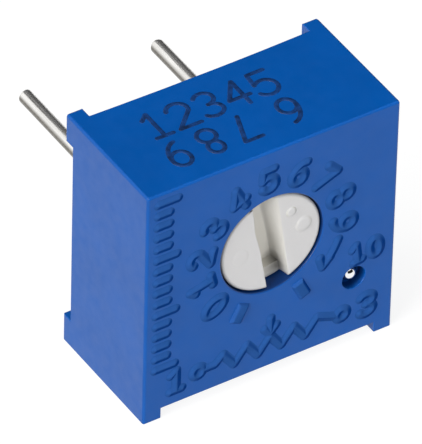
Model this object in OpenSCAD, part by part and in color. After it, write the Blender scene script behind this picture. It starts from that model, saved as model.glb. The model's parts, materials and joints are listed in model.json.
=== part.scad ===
// Single-turn sealed trimmer potentiometer with three round pins out of its back.
// It stands on its two side rails: +Z is up, +X is across the front, +Y runs from front to back.
// Depths are measured from the front face, and the whole part is then centred over the origin.

/* [Case] */
// Width of the case
body_w = 9.53; // [9.2:0.01:11]
// Height of the case above its rails
case_h = 9.11; // [9:0.01:10.5]
// Depth of the case from its front face to its back rim
case_d = 4.5; // [4.3:0.05:6]
// Thickness of the four side walls
wall = 0.7; // [0.5:0.05:0.8]
// Thickness of the front wall
front_wall = 1.2; // [1.2:0.05:1.4]
// Radius of the four edges that run from front to back
edge_r = 0.12; // [0.05:0.01:0.3]
// Width of each side rail
rail_w = 0.68; // [0.4:0.02:1]
// Height of each side rail
rail_h = 0.42; // [0.2:0.02:0.8]
// Width of each standoff on the back rim
standoff_w = 0.6; // [0.4:0.05:0.7]
// Height of each standoff on the back rim
standoff_h = 1.1; // [0.6:0.05:2]
// Length of the standoffs beyond the back rim
standoff_d = 0.45; // [0.2:0.05:1]
// Side of the square corner posts that the ceramic plate seats on
post = 1.1; // [0.8:0.05:1.15]

/* [Rotor] */
// Drop of the rotor axis below the top of the case
rotor_drop = 3.93; // [3.8:0.01:4.1]
// Diameter of the bore in the front wall
bore_d = 3.86; // [3.4:0.02:4]
// Gap all round between the rotor and its bore
rotor_gap = 0.05; // [0.02:0.01:0.08]
// Depth of the rotor face below the front face
face_recess = 0.07; // [0.02:0.01:0.2]
// Chamfer round the rotor face
face_chamfer = 0.05; // [0.02:0.01:0.1]
// Radius of the flange that keeps the rotor in
flange_r = 2.6; // [2.55:0.02:2.66]
// Thickness of the flange
flange_t = 0.56; // [0.4:0.02:0.7]
// Width of the screwdriver slot
slot_w = 0.84; // [0.5:0.02:1]
// Depth of the screwdriver slot below the rotor face
slot_depth = 0.47; // [0.3:0.01:0.5]
// Length of the deeper pocket in the middle of the slot
pocket_len = 2.8; // [2:0.05:3]
// Depth of the deeper pocket below the rotor face
pocket_depth = 0.82; // [0.6:0.01:0.9]
// Lean of the slot to the left of mid travel
slot_lean = 10; // [-60:1:60]

/* [Stops] */
// Half of the angle that the rotor's stop lug takes
lug_half = 12; // [8:0.5:14]
// Half of the angle that the case's stop rib takes
rib_half = 12; // [8:0.5:14]
// Angle left free before the lug meets the rib
stop_gap = 1; // [0.5:0.25:2]
// Gap between the lug's outer end and the nearest wall
lug_gap = 0.13; // [0.05:0.01:0.2]
// Reach of the stop rib beyond the lug's outer end
rib_reach = 0.2; // [0.05:0.01:0.3]

/* [Seal ring] */
// Thickness of the rubber ring
ring_cord = 0.5; // [0.4:0.02:0.54]
// Depth of the rotor groove that it sits in
ring_groove = 0.06; // [0.03:0.01:0.1]
// Gap between the ring and the case
ring_gap = 0.02; // [0.01:0.01:0.05]

/* [Ceramic plate] */
// Depth of the plate's front below the front face
plate_y = 2.6; // [2.5:0.02:2.8]
// Thickness of the plate
plate_t = 0.64; // [0.5:0.02:0.8]
// Gap all round between the plate and the case
plate_gap = 0.04; // [0.02:0.01:0.1]
// Thickness of the printed layers
print_t = 0.03; // [0.02:0.005:0.05]
// Gap between one printed layer and the next
print_gap = 0.1; // [0.06:0.01:0.12]
// Width of the resistive track
track_w = 0.5; // [0.3:0.02:0.54]
// Half of the angle that the track leaves open at the bottom
track_open = 26; // [25:0.5:40]
// Angle at which each end land stops, on each side of the bottom
land_open = 16; // [15:0.5:20]
// Mean radius of the collector ring
collector_r = 0.78; // [0.7:0.01:0.85]
// Width of the collector ring
collector_w = 0.54; // [0.3:0.02:0.6]
// Width of the printed leads
lead_w = 0.3; // [0.2:0.02:0.4]

/* [Wiper] */
// Thickness of the wiper's spring metal
wiper_t = 0.08; // [0.05:0.01:0.12]
// Width of each contact finger
finger_w = 0.1; // [0.06:0.01:0.12]
// Spacing of the contact fingers
finger_pitch = 0.15; // [0.14:0.01:0.16]
// Gap between the finger tips and the printed layers
touch_gap = 0.01; // [0.005:0.005:0.03]
// Radius of the two stakes that hold the wiper
stake_r = 0.2; // [0.15:0.01:0.25]

/* [Terminals] */
// Diameter of the pins
pin_d = 0.51; // [0.4:0.01:0.6]
// Distance of each outer pin from the middle of the case
pin_pitch = 2.54; // [2.5:0.01:2.6]
// Drop of the two outer pins below the rotor axis
pin_drop = 0.62; // [0.5:0.01:0.7]
// Gap between the middle pin's printed pad and the lower edge of the plate
pad_margin = 0.72; // [0.5:0.01:0.8]
// Length of the pins beyond the standoffs
pin_len = 6.14; // [3:0.02:8]
// Chamfer of the pin tips
tip_chamfer = 0.08; // [0.02:0.01:0.12]
// Gap between a pin and its hole in the plate
pin_gap = 0.03; // [0.01:0.01:0.05]
// Width of the flattened stretch that anchors each pin in the resin
anchor_w = 0.72; // [0.6:0.02:0.9]
// Thickness of that stretch
anchor_t = 0.3; // [0.2:0.02:0.4]
// Length of that stretch
anchor_len = 0.7; // [0.6:0.02:0.8]
// Depth of that stretch below the resin's face
anchor_drop = 0.15; // [0.1:0.01:0.2]
// Radius of the pin heads
head_r = 0.44; // [0.42:0.01:0.48]
// Thickness of the pin heads
head_t = 0.15; // [0.1:0.01:0.2]
// Width of the solder round each pin head
solder_w = 0.1; // [0.05:0.01:0.11]
// Depth of the sealing resin's face below the back rim
resin_drop = 0.2; // [0.05:0.05:0.6]

/* [Vent] */
// Place of the vent to the right of the rotor axis
vent_x = 3.22; // [3:0.02:3.4]
// Height of the vent above the corner post
vent_rise = 0.52; // [0.44:0.02:0.7]
// Diameter of the vent's mouth
vent_d = 0.88; // [0.78:0.01:0.92]
// Diameter of the ball that closes the vent
ball_d = 0.64; // [0.56:0.01:0.72]
// Depth of the ball's nearest point below the front face
ball_recess = 0.08; // [0.02:0.01:0.14]
// Squeeze of the ball in its hole, on the radius
ball_squeeze = 0.01; // [0.005:0.005:0.02]

/* [Raised marks] */
// Height of the raised marks above the front face
mark_h = 0.1; // [0.04:0.01:0.12]
// Width of their strokes
mark_w = 0.24; // [0.12:0.01:0.28]
// Height of the terminal numbers
digit_h = 1.1; // [0.8:0.05:1.2]
// Distance of the number 1 from the middle
one_x = 3.46; // [3.3:0.02:3.8]
// Distance of the number 3 from the middle
three_x = 3.82; // [3.6:0.02:4]
// Height of the marks' middle line above the rail feet
mark_z = 1.35; // [1.2:0.01:1.4]
// Shift of the resistor sign to the right
sign_x = 0.15; // [0:0.01:0.2]
// Length of one tooth of the resistor sign
tooth = 0.9; // [0.7:0.02:1]
// Height of the teeth of the resistor sign
tooth_h = 0.72; // [0.5:0.02:0.9]
// Number of teeth of the resistor sign
teeth = 4; // [3:1:4]
// Number of ticks in the scale at the left
ticks = 16; // [8:1:16]
// Length of the long ticks
long_tick = 0.72; // [0.5:0.02:0.8]
// Length of the short ticks
short_tick = 0.42; // [0.2:0.02:0.5]
// Length of the two bars that show the ends of the track
end_bar = 0.75; // [0.5:0.05:0.8]
// Width of those bars
end_bar_w = 0.46; // [0.2:0.02:0.5]

/* [Hidden] */
$fn = 96;
eps = 0.05;

body_top = rail_h + case_h;
cavity_w = body_w - 2 * wall;
cavity_h = case_h - 2 * wall;
cavity_z = rail_h + wall;
rotor_z = body_top - rotor_drop;
seat_y = case_d + standoff_d;
pin_tip_y = seat_y + pin_len;
middle_y = (pin_tip_y - mark_h) / 2;

rotor_r = bore_d / 2 - rotor_gap;
axial_gap = 0.04;
flange_y = front_wall + axial_gap;
flange_back = flange_y + flange_t;
ring_r = rotor_r - ring_groove;
lip_d = flange_y - ring_cord - 2 * ring_gap;
ring_y = lip_d + ring_gap + ring_cord / 2;
ring_bore_r = ring_r + ring_cord + ring_gap;
lug_r = rotor_drop - wall - lug_gap;
rib_gap = 0.08;

print_y = plate_y - print_t;
touch_y = print_y - touch_gap;
plate_back = plate_y + plate_t;
resin_back = case_d - resin_drop;
pad_r = head_r + solder_w + 0.02;
head_y = print_y - head_t;
pin_z = rotor_z - pin_drop;
// Terminals 1, 2 and 3, as [across, up]
pins = [[-pin_pitch, pin_z], [0, cavity_z + plate_gap + pad_r + pad_margin], [pin_pitch, pin_z]];
track_edge = norm([pin_pitch, pin_drop]) - pad_r - print_gap;
track_r = track_edge - track_w / 2;
vent_z = cavity_z + post + vent_rise;
vent_mouth = ball_recess + ball_d / 2;

end_bar_r = bore_d / 2 + 0.4;
scale_margin = 0.42;
scale_z = mark_z + digit_h / 2 + 0.25;
tick_step = (body_top - scale_margin - scale_z) / (ticks - 1);

arm_u = 1.45;
arm_w = 0.5;
bar_half = 0.38;
stake_u = 0.62;
cap_t = 0.12;

// Fills the depths y0 to y1 with a flat shape that is drawn as seen from the front
module layer(y0, y1) {
    translate([0, y1, 0]) rotate([90, 0, 0]) linear_extrude(y1 - y0) children();
}

// A round bar along the depth, from y0 to y1
module bar(x, z, r, y0, y1) {
    translate([x, y0, z]) rotate([-90, 0, 0]) cylinder(r = r, h = y1 - y0);
}

// Centres the finished part over the origin
module placed() {
    translate([0, -middle_y, 0]) children();
}

// Sets a piece on the rotor axis, in a frame that is upright at mid travel
module on_axis(lean = 0) {
    translate([0, 0, rotor_z]) rotate([0, -lean, 0]) children();
}

// A flat ring sector between two radii and two angles, anticlockwise from the right
module sector(r0, r1, a0, a1) {
    steps = ceil((a1 - a0) / 30);
    reach = 2 * r1;
    intersection() {
        difference() {
            circle(r = r1);
            circle(r = r0);
        }
        polygon([
            [0, 0],
            for (i = [0:steps]) let (a = a0 + (a1 - a0) * i / steps) reach * [cos(a), sin(a)]
        ]);
    }
}

// A flat rectangle with round corners
module round_rect(w, h, r) {
    translate([r, 0]) square([w - 2 * r, h]);
    translate([0, r]) square([w, h - 2 * r]);
    for (x = [r, w - r], y = [r, h - r]) translate([x, y]) circle(r = r);
}

// One straight stroke of a raised mark
module stroke(p, q) {
    run = q - p;
    translate(p) rotate(atan2(run[1], run[0])) translate([0, -mark_w / 2]) square([norm(run), mark_w]);
    for (end = [p, q]) translate(end) circle(d = mark_w, $fn = 24);
}

// Strokes that join a row of points
module strokes(points) {
    for (i = [1:len(points) - 1]) stroke(points[i - 1], points[i]);
}

// The resistor sign: the teeth between two leads that end in rings, with the wiper's arrow above
module resistor_sign() {
    half = teeth * tooth / 2;
    low = -tooth_h / 2;
    high = tooth_h / 2;
    ring_mid = 0.2;
    ring_x = half + 0.95;
    strokes([
        [-ring_x + ring_mid, 0], [-half - 0.3, 0],
        for (i = [0:teeth - 1]) each [[-half + i * tooth, high], [-half + (i + 0.5) * tooth, low]],
        [half, high], [ring_x - ring_mid, 0]
    ]);
    for (side = [-1, 1]) translate([side * ring_x, 0]) difference() {
        circle(r = ring_mid + mark_w / 2, $fn = 48);
        circle(r = ring_mid - mark_w / 2, $fn = 48);
    }
    strokes([[0, high + 0.12], [0, high + 0.82]]);
    strokes([[-0.22, high + 0.38], [0, high + 0.12], [0.22, high + 0.38]]);
}

// The terminal numbers 1 and 3
module terminal_numbers() {
    half = digit_h / 2;
    third = digit_h * 0.26;
    hook = 150;
    translate([-one_x, mark_z]) {
        strokes([[-third, half - 0.2], [0, half], [0, -half]]);
        strokes([[-third, -half], [third, -half]]);
    }
    for (side = [-1, 1])
        translate([three_x, mark_z + side * third])
            sector(third - mark_w / 2, third + mark_w / 2, side > 0 ? -90 : -hook, side > 0 ? hook : 90);
}

// Bars that show the ends of the electrical travel, and the scale at the left
module scales() {
    for (side = [-1, 1])
        translate([0, rotor_z]) rotate(side * track_open)
            translate([-end_bar_w / 2, -end_bar_r - end_bar]) square([end_bar_w, end_bar]);
    for (i = [0:ticks - 1])
        translate([-body_w / 2 + scale_margin, scale_z + i * tick_step])
            strokes([[0, 0], [i % 5 == 0 ? long_tick : short_tick, 0]]);
}

// The case's outline with its two rails, as seen from the front
module case_outline() {
    translate([-body_w / 2, rail_h]) round_rect(body_w, case_h, edge_r);
    for (x = [-body_w / 2, body_w / 2 - rail_w]) translate([x, 0]) square([rail_w, rail_h + edge_r]);
}

// The four corners that stand off the back rim
module corners() {
    for (x = [-body_w / 2, body_w / 2 - standoff_w], z = [0, body_top - standoff_h])
        translate([x, z]) square([standoff_w, standoff_h]);
    for (x = [-body_w / 2, body_w / 2 - rail_w]) translate([x, 0]) square([rail_w, rail_h]);
}

module housing() {
    color("#2a5fa8") placed() {
        difference() {
            union() {
                layer(0, case_d) case_outline();
                layer(case_d - eps, seat_y) intersection() {
                    case_outline();
                    corners();
                }
                layer(-mark_h, eps) {
                    translate([sign_x, mark_z]) resistor_sign();
                    terminal_numbers();
                    scales();
                }
            }
            difference() {
                layer(front_wall, case_d + eps)
                    translate([-cavity_w / 2, cavity_z]) square([cavity_w, cavity_h]);
                for (x = [-cavity_w / 2, cavity_w / 2 - post], z = [cavity_z, cavity_z + cavity_h - post])
                    translate([x, front_wall - eps, z]) cube([post, plate_y - front_wall + eps, post]);
                on_axis() layer(front_wall - eps, flange_back - axial_gap)
                    sector(flange_r + rib_gap, lug_r + rib_reach, 270 - rib_half, 270 + rib_half);
            }
            bar(0, rotor_z, bore_d / 2, -eps, front_wall + eps);
            bar(0, rotor_z, ring_bore_r, lip_d, front_wall + eps);
            bar(vent_x, vent_z, vent_d / 2, -eps, vent_mouth);
            bar(vent_x, vent_z, ball_d / 2 - ball_squeeze, vent_mouth - eps, front_wall + eps);
        }
    }
}

module rotor() {
    color("#e4e2dc") placed() on_axis(slot_lean) {
        difference() {
            union() {
                bar(0, 0, rotor_r, face_recess + face_chamfer, flange_y + eps);
                translate([0, face_recess, 0]) rotate([-90, 0, 0])
                    cylinder(r1 = rotor_r - face_chamfer, r2 = rotor_r, h = face_chamfer);
                bar(0, 0, flange_r, flange_y, flange_back);
                layer(flange_y, flange_back)
                    sector(flange_r - eps, lug_r, 90 - lug_half, 90 + lug_half);
            }
            translate([0, ring_y, 0]) rotate([90, 0, 0]) rotate_extrude()
                translate([ring_r, -ring_cord / 2]) square([ring_cord, ring_cord]);
            translate([-slot_w / 2, face_recess - eps, -bore_d / 2])
                cube([slot_w, slot_depth + eps, bore_d]);
            translate([-slot_w / 2, face_recess, -pocket_len / 2])
                cube([slot_w, pocket_depth, pocket_len]);
        }
        cap_y = flange_back + wiper_t;
        for (x = [-stake_u, stake_u]) {
            bar(x, 0, stake_r, flange_back - eps, cap_y + eps);
            bar(x, 0, stake_r + 0.1, cap_y, cap_y + cap_t);
        }
    }
}

module seal_ring() {
    color("#1c1c1e") placed() on_axis() translate([0, ring_y, 0]) rotate([90, 0, 0])
        rotate_extrude() translate([ring_r + ring_cord / 2, 0]) circle(d = ring_cord, $fn = 48);
}

// One contact finger: it leaves the root, slopes back to its contact and turns up at the tip
module finger(v, root_u) {
    lean_u = abs(root_u);
    side = [
        [lean_u + eps, flange_back], [lean_u, flange_back],
        [0.08, touch_y - wiper_t], [-0.12, touch_y - wiper_t], [-0.3, touch_y - 0.28],
        [-0.36, touch_y - 0.24], [-0.16, touch_y], [0.08, touch_y],
        [lean_u, flange_back + wiper_t], [lean_u + eps, flange_back + wiper_t]
    ];
    mirror([root_u < 0 ? 1 : 0, 0, 0]) translate([0, 0, v - finger_w / 2])
        linear_extrude(finger_w) polygon(side);
}

module wiper_spring() {
    color("#c9a24a") placed() on_axis(slot_lean) {
        track_v = [for (i = [-1:1]) track_r + i * finger_pitch];
        collector_v = [for (i = [-1:1]) -collector_r + i * finger_pitch];
        root_u = arm_u - arm_w;
        layer(flange_back, flange_back + wiper_t) difference() {
            union() {
                translate([-arm_u, -bar_half]) square([2 * arm_u, 2 * bar_half]);
                translate([-arm_u, 0]) square([arm_w, track_edge]);
                translate([root_u, -collector_r - collector_w / 2])
                    square([arm_w, collector_r + collector_w / 2]);
            }
            for (side = [-1, 1]) translate([side * stake_u, 0]) circle(r = stake_r);
        }
        for (v = track_v) finger(v, -root_u);
        for (v = collector_v) finger(v, root_u);
    }
}

module ceramic_plate() {
    color("#f0efe8") placed() difference() {
        layer(plate_y, plate_back) translate([-cavity_w / 2 + plate_gap, cavity_z + plate_gap])
            square([cavity_w - 2 * plate_gap, cavity_h - 2 * plate_gap]);
        for (p = pins) bar(p[0], p[1], pin_d / 2 + pin_gap, plate_y - eps, plate_back + eps);
    }
}

module resistive_track() {
    color("#2b2a2c") placed() on_axis() layer(print_y, plate_y)
        sector(track_r - track_w / 2, track_edge, track_open - 90, 270 - track_open);
}

module collector_layer() {
    color("#b9b4a6") placed() layer(print_y, plate_y) difference() {
        union() {
            translate([0, rotor_z])
                sector(collector_r - collector_w / 2, collector_r + collector_w / 2, -90, 270);
            translate([-lead_w / 2, pins[1][1]]) square([lead_w, rotor_z - collector_r - pins[1][1]]);
            translate(pins[1]) circle(r = pad_r);
        }
        translate(pins[1]) circle(r = pin_d / 2 + pin_gap);
    }
}

// An end conductor on the right: the land at the track's end, an arc outside the track and the pad
module end_conductor() {
    color("#b9b4a6") placed() layer(print_y, plate_y) difference() {
        arc_r = track_edge + print_gap;
        pad_angle = atan2(pins[2][1] - rotor_z, pins[2][0]);
        union() {
            translate([0, rotor_z]) {
                sector(track_r - track_w / 2, arc_r + lead_w, land_open - 90, track_open - 90);
                sector(arc_r, arc_r + lead_w, land_open - 90, pad_angle);
            }
            translate(pins[2]) circle(r = pad_r);
        }
        translate(pins[2]) circle(r = pin_d / 2 + pin_gap);
    }
}

module end_conductor_1() { mirror([1, 0, 0]) end_conductor(); }

module end_conductor_3() { end_conductor(); }

// The flattened stretch of a pin, which the resin closes round
module anchor(place) {
    translate([place[0] - anchor_w / 2, resin_back - anchor_drop - anchor_len, place[1] - anchor_t / 2])
        cube([anchor_w, anchor_len, anchor_t]);
}

// A round pin: head in front, flattened anchor, shank and chamfered tip
module terminal_pin(place) {
    anchor_y = resin_back - anchor_drop - anchor_len;
    color("#b8b9bb") placed() {
        bar(place[0], place[1], head_r, head_y, print_y);
        bar(place[0], place[1], pin_d / 2, head_y, anchor_y);
        anchor(place);
        bar(place[0], place[1], pin_d / 2, anchor_y + anchor_len, pin_tip_y - tip_chamfer);
        translate([place[0], pin_tip_y - tip_chamfer, place[1]]) rotate([-90, 0, 0])
            cylinder(r1 = pin_d / 2, r2 = pin_d / 2 - tip_chamfer, h = tip_chamfer);
    }
}

module terminal_pin_1() { terminal_pin(pins[0]); }

module terminal_pin_2() { terminal_pin(pins[1]); }

module terminal_pin_3() { terminal_pin(pins[2]); }

module solder_joint(place) {
    color("#9fa2a6") placed() translate([place[0], print_y, place[1]]) rotate([90, 0, 0])
        rotate_extrude() polygon([[head_r, 0], [head_r + solder_w, 0], [head_r, solder_w]]);
}

module solder_joint_1() { solder_joint(pins[0]); }

module solder_joint_2() { solder_joint(pins[1]); }

module solder_joint_3() { solder_joint(pins[2]); }

module resin_seal() {
    color("#1d4f93") placed() difference() {
        layer(plate_back, resin_back) translate([-cavity_w / 2, cavity_z]) square([cavity_w, cavity_h]);
        for (p = pins) {
            bar(p[0], p[1], pin_d / 2, plate_back - eps, resin_back + eps);
            anchor(p);
        }
    }
}

module vent_ball() {
    color("#d5d6d8") placed() translate([vent_x, ball_recess + ball_d / 2, vent_z]) sphere(d = ball_d);
}

housing();
rotor();
seal_ring();
wiper_spring();
ceramic_plate();
resistive_track();
collector_layer();
end_conductor_1();
end_conductor_3();
terminal_pin_1();
terminal_pin_2();
terminal_pin_3();
solder_joint_1();
solder_joint_2();
solder_joint_3();
resin_seal();
vent_ball();
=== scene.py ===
"""The looks of a sealed single-turn trimmer: blue moulded case, white slotted rotor, tinned pins.

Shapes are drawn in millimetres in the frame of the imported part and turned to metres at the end.
+X runs across the front, +Y from the front to the back, +Z up. Outlines are given as (x, z).
"""

import json
import math

import bmesh
import bpy
from mathutils import Matrix, Vector, noise


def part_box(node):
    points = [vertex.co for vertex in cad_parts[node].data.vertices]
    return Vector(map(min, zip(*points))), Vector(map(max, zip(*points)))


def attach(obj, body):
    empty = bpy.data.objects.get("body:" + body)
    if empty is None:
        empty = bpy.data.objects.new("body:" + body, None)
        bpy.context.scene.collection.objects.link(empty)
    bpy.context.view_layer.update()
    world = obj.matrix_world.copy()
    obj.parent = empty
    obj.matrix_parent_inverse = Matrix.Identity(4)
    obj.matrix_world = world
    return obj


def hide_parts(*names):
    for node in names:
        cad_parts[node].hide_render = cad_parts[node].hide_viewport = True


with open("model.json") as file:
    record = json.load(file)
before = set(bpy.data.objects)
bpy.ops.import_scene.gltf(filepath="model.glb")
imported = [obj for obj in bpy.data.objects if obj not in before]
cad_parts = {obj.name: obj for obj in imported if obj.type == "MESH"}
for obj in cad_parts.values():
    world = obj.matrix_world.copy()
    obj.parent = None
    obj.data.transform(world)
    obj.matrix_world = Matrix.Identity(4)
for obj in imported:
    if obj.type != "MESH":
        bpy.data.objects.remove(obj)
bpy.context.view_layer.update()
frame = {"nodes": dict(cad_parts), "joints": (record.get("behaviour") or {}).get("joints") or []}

MM = 0.001


def mm_box(node):
    """The lowest and highest corner of a CAD node, in millimetres."""
    low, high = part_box(node)
    return low / MM, high / MM


# --- Sizes in millimetres, as in the part ---------------------------------------------------

CASE_LOW, CASE_HIGH = mm_box("housing")
ROTOR_LOW, ROTOR_HIGH = mm_box("rotor")
RING_LOW, RING_HIGH = mm_box("seal_ring")
PLATE_LOW = mm_box("ceramic_plate")[0]
RESIN_LOW, RESIN_HIGH = mm_box("resin_seal")
BALL_LOW, BALL_HIGH = mm_box("vent_ball")

# The marks' height in the part, which the end bars keep, and the height of the worn strokes
MARK_H, MARK_RISE = 0.1, 0.07
MARK_FOOT, MARK_CREST, MARK_SINK = 0.38, 0.02, 0.03
FRONT_Y = CASE_LOW.y + MARK_H
WALL_BACK = FRONT_Y + 1.2
STANDOFF_W, STANDOFF_H, STANDOFF_D = 0.6, 1.1, 0.45
RIM_Y = CASE_HIGH.y - STANDOFF_D
RAIL_W, RAIL_H = 0.68, 0.42
POST = 1.1
HALF_W = CASE_HIGH.x
TOP_Z = CASE_HIGH.z
PRINT_T, PRINT_W = 0.01, 0.16
SKIN_Z = TOP_Z - PRINT_T

AXIS_Z = frame["joints"][0]["pos_m"][2] / MM
BORE_R = 1.93
RING_GAP = 0.02
ROTOR_R = 1.88
ROTOR_FACE = ROTOR_LOW.y
FLANGE_R, FLANGE_FRONT, FLANGE_T = 2.6, FRONT_Y + 1.24, 0.56
FLANGE_BACK = FLANGE_FRONT + FLANGE_T
LUG_R, LUG_HALF = 3.1, 12
RIB_R = (FLANGE_R + 0.08, LUG_R + 0.2)
RIB_BACK = FLANGE_BACK - 0.04
SLOT_LEAN = 10
SLOT_W, SLOT_DEPTH = 0.84, 0.47
POCKET_LEN, POCKET_DEPTH = 2.8, 0.82
STAKE_X, STAKE_R, STAKE_CAP_R, STAKE_LEN = 0.62, 0.2, 0.3, 0.08

VENT_X, VENT_Z = (BALL_LOW.x + BALL_HIGH.x) / 2, (BALL_LOW.z + BALL_HIGH.z) / 2
VENT_R = 0.44
BALL_R = (BALL_HIGH.x - BALL_LOW.x) / 2
BALL_Y = (BALL_LOW.y + BALL_HIGH.y) / 2
BALL_SQUEEZE = 0.01
# The ball's radius as drawn, as a share of its radius once pressed in
BALL_SHARE = 0.93

PIN_R, PIN_HEAD_R, PIN_HEAD_T = 0.255, 0.44, 0.15
ANCHOR_W, ANCHOR_T, ANCHOR_LEN, ANCHOR_DROP = 0.72, 0.3, 0.7, 0.15

# Radii of the rounded edges
EDGE_R = 0.1
SMALL_EDGE_R = 0.035
BORE_EDGE_R = 0.06
FOOT_EDGE_R = 0.04
BAR_EDGE_R = 0.03
SLOT_EDGE_R = 0.025

# How far a cutting tool runs past the wall that it cuts, and how deep a joined piece is sunk
PAST = 1.0
OVERLAP = 0.05


# --- Mesh tools -----------------------------------------------------------------------------

def piece_from(mesh_work, name):
    """Turns a worked mesh into an object, faces outwards."""
    bmesh.ops.recalc_face_normals(mesh_work, faces=mesh_work.faces)
    mesh = bpy.data.meshes.new(name)
    mesh_work.to_mesh(mesh)
    mesh_work.free()
    piece = bpy.data.objects.new(name, mesh)
    bpy.context.scene.collection.objects.link(piece)
    return piece


def add_prism(work, outline, y0, y1):
    """Adds the (x, z) outline as a closed prism between the depths y0 and y1."""
    near = [work.verts.new((x, y0, z)) for x, z in outline]
    far = [work.verts.new((x, y1, z)) for x, z in outline]
    work.faces.new(near)
    work.faces.new(far[::-1])
    for i in range(len(outline)):
        j = (i + 1) % len(outline)
        work.faces.new((near[i], far[i], far[j], near[j]))


def rectangle(x0, z0, x1, z1):
    return [(x0, z0), (x1, z0), (x1, z1), (x0, z1)]


def arc(x, z, r, start, end, steps, r_z=None):
    """Points along an arc, angles in degrees, anticlockwise from the right."""
    angles = [math.radians(start + (end - start) * i / steps) for i in range(steps + 1)]
    return [(x + r * math.cos(a), z + (r_z or r) * math.sin(a)) for a in angles]


def sector(r0, r1, start, end, x=0, z=0, steps=12):
    return arc(x, z, r1, start, end, steps) + arc(x, z, r0, end, start, steps)


def add_lathe(work, profile, x, z, sides):
    """Turns a profile of (radius, y) points, which starts and ends on the axis, about a line along Y."""
    rings = []
    for radius, y in profile:
        circle = arc(x, z, radius, 0, 360, sides)[:-1] if radius else [(x, z)]
        rings.append([work.verts.new((px, y, pz)) for px, pz in circle])
    for ring, after in zip(rings, rings[1:]):
        for i in range(sides):
            j = (i + 1) % sides
            corners = [ring[i % len(ring)], ring[j % len(ring)],
                       after[j % len(after)], after[i % len(after)]]
            work.faces.new(list(dict.fromkeys(corners)))


def prism(name, outline, y0, y1):
    work = bmesh.new()
    add_prism(work, outline, y0, y1)
    return piece_from(work, name)


def lathe(name, profile, x, z, sides=96):
    work = bmesh.new()
    add_lathe(work, profile, x, z, sides)
    return piece_from(work, name)


def settle(piece):
    """Makes the result of the piece's modifiers its plain mesh."""
    graph = bpy.context.evaluated_depsgraph_get()
    mesh = bpy.data.meshes.new_from_object(piece.evaluated_get(graph))
    piece.modifiers.clear()
    piece.data = mesh


def combine(piece, other, operation):
    """Cuts or joins one solid with another, which is used up."""
    change = piece.modifiers.new("combine", "BOOLEAN")
    change.operation = operation
    change.solver = "EXACT"
    change.object = other
    settle(piece)
    bpy.data.objects.remove(other)


def cut(piece, *others):
    for other in others:
        combine(piece, other, "DIFFERENCE")


def join(piece, *others):
    for other in others:
        combine(piece, other, "UNION")


def round_edges(piece, radius_at, largest, segments=3):
    """Rounds the sharp edges, each by the radius that radius_at gives for its middle."""
    work = bmesh.new()
    work.from_mesh(piece.data)
    bmesh.ops.remove_doubles(work, verts=work.verts, dist=0.0005)
    bmesh.ops.dissolve_limit(work, angle_limit=math.radians(0.5), verts=work.verts, edges=work.edges)
    weights = work.edges.layers.float.new("bevel_weight_edge")
    for edge in work.edges:
        if len(edge.link_faces) == 2 and edge.calc_face_angle(0) > math.radians(30):
            middle = (edge.verts[0].co + edge.verts[1].co) / 2
            edge[weights] = radius_at(middle) / largest
    work.to_mesh(piece.data)
    work.free()
    bevel = piece.modifiers.new("round", "BEVEL")
    bevel.limit_method = "WEIGHT"
    bevel.width = largest
    bevel.segments = segments
    bevel.use_clamp_overlap = False
    settle(piece)


def smooth(piece, angle=35):
    """Smooth shading that keeps flat faces flat and edges over the angle sharp."""
    mesh = piece.data
    mesh.polygons.foreach_set("use_smooth", [True] * len(mesh.polygons))
    mesh.set_sharp_from_angle(angle=math.radians(angle))
    normals = piece.modifiers.new("normals", "WEIGHTED_NORMAL")
    normals.keep_sharp = True
    settle(piece)


def finish_piece(piece, material, body, slot, *nodes):
    """Turns the piece to metres, gives it its finish and its body, and hides the nodes that it stands for."""
    piece.data.transform(Matrix.Scale(MM, 4))
    piece.data.materials.clear()
    piece.data.materials.append(material)
    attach(piece, body)
    if nodes:
        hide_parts(*nodes)
    return piece


# --- Materials ------------------------------------------------------------------------------

def colour(hex_text):
    """A linear colour from an sRGB hex value."""
    parts = [int(hex_text[i:i + 2], 16) / 255 for i in (1, 3, 5)]
    return tuple(c / 12.92 if c <= 0.04045 else ((c + 0.055) / 1.055) ** 2.4 for c in parts) + (1.0,)


def add_node(tree, kind, settings=None, **inputs):
    """Adds a node, sets its properties, and sets or links its inputs."""
    node = tree.nodes.new(kind)
    for name, value in (settings or {}).items():
        setattr(node, name, value)
    for name, value in inputs.items():
        key = int(name[1:]) if name[0] == "_" and name[1:].isdigit() else name.replace("_", " ")
        if isinstance(value, bpy.types.NodeSocket):
            tree.links.new(value, node.inputs[key])
        else:
            node.inputs[key].default_value = value
    return node


def new_material(name):
    """A material with its shader, and object coordinates to draw on."""
    material = bpy.data.materials.new(name)
    material.use_nodes = True
    tree = material.node_tree
    tree.nodes.clear()
    shader = add_node(tree, "ShaderNodeBsdfPrincipled")
    add_node(tree, "ShaderNodeOutputMaterial", Surface=shader.outputs["BSDF"])
    place = add_node(tree, "ShaderNodeTexCoord").outputs["Object"]
    return material, tree, shader, place


def spots(tree, place, size, detail=3.0, stretch=None):
    """Noise with features of about size millimetres, drawn out to stretch millimetres along Y."""
    if stretch:
        squeeze = (1, size / stretch, 1)
        place = add_node(tree, "ShaderNodeMapping", Vector=place, Scale=squeeze).outputs["Vector"]
    noise_node = add_node(tree, "ShaderNodeTexNoise", Vector=place, Scale=1 / (size * MM), Detail=detail)
    return noise_node.outputs["Fac"]


def spread(tree, fac, low, high, from_low=0.3, from_high=0.7):
    """Maps a pattern's middle range to the values low to high."""
    node = add_node(tree, "ShaderNodeMapRange", Value=fac, From_Min=from_low, From_Max=from_high,
                    To_Min=low, To_Max=high)
    return node.outputs["Result"]


def blend_colours(tree, fac, *pair):
    """A colour between two, by a pattern; each is a hex value or another pattern's colour."""
    first, second = [colour(shade) if isinstance(shade, str) else shade for shade in pair]
    mix = add_node(tree, "ShaderNodeMix", {"data_type": "RGBA"}, Factor=fac, _6=first, _7=second)
    return mix.outputs[2]


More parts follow.
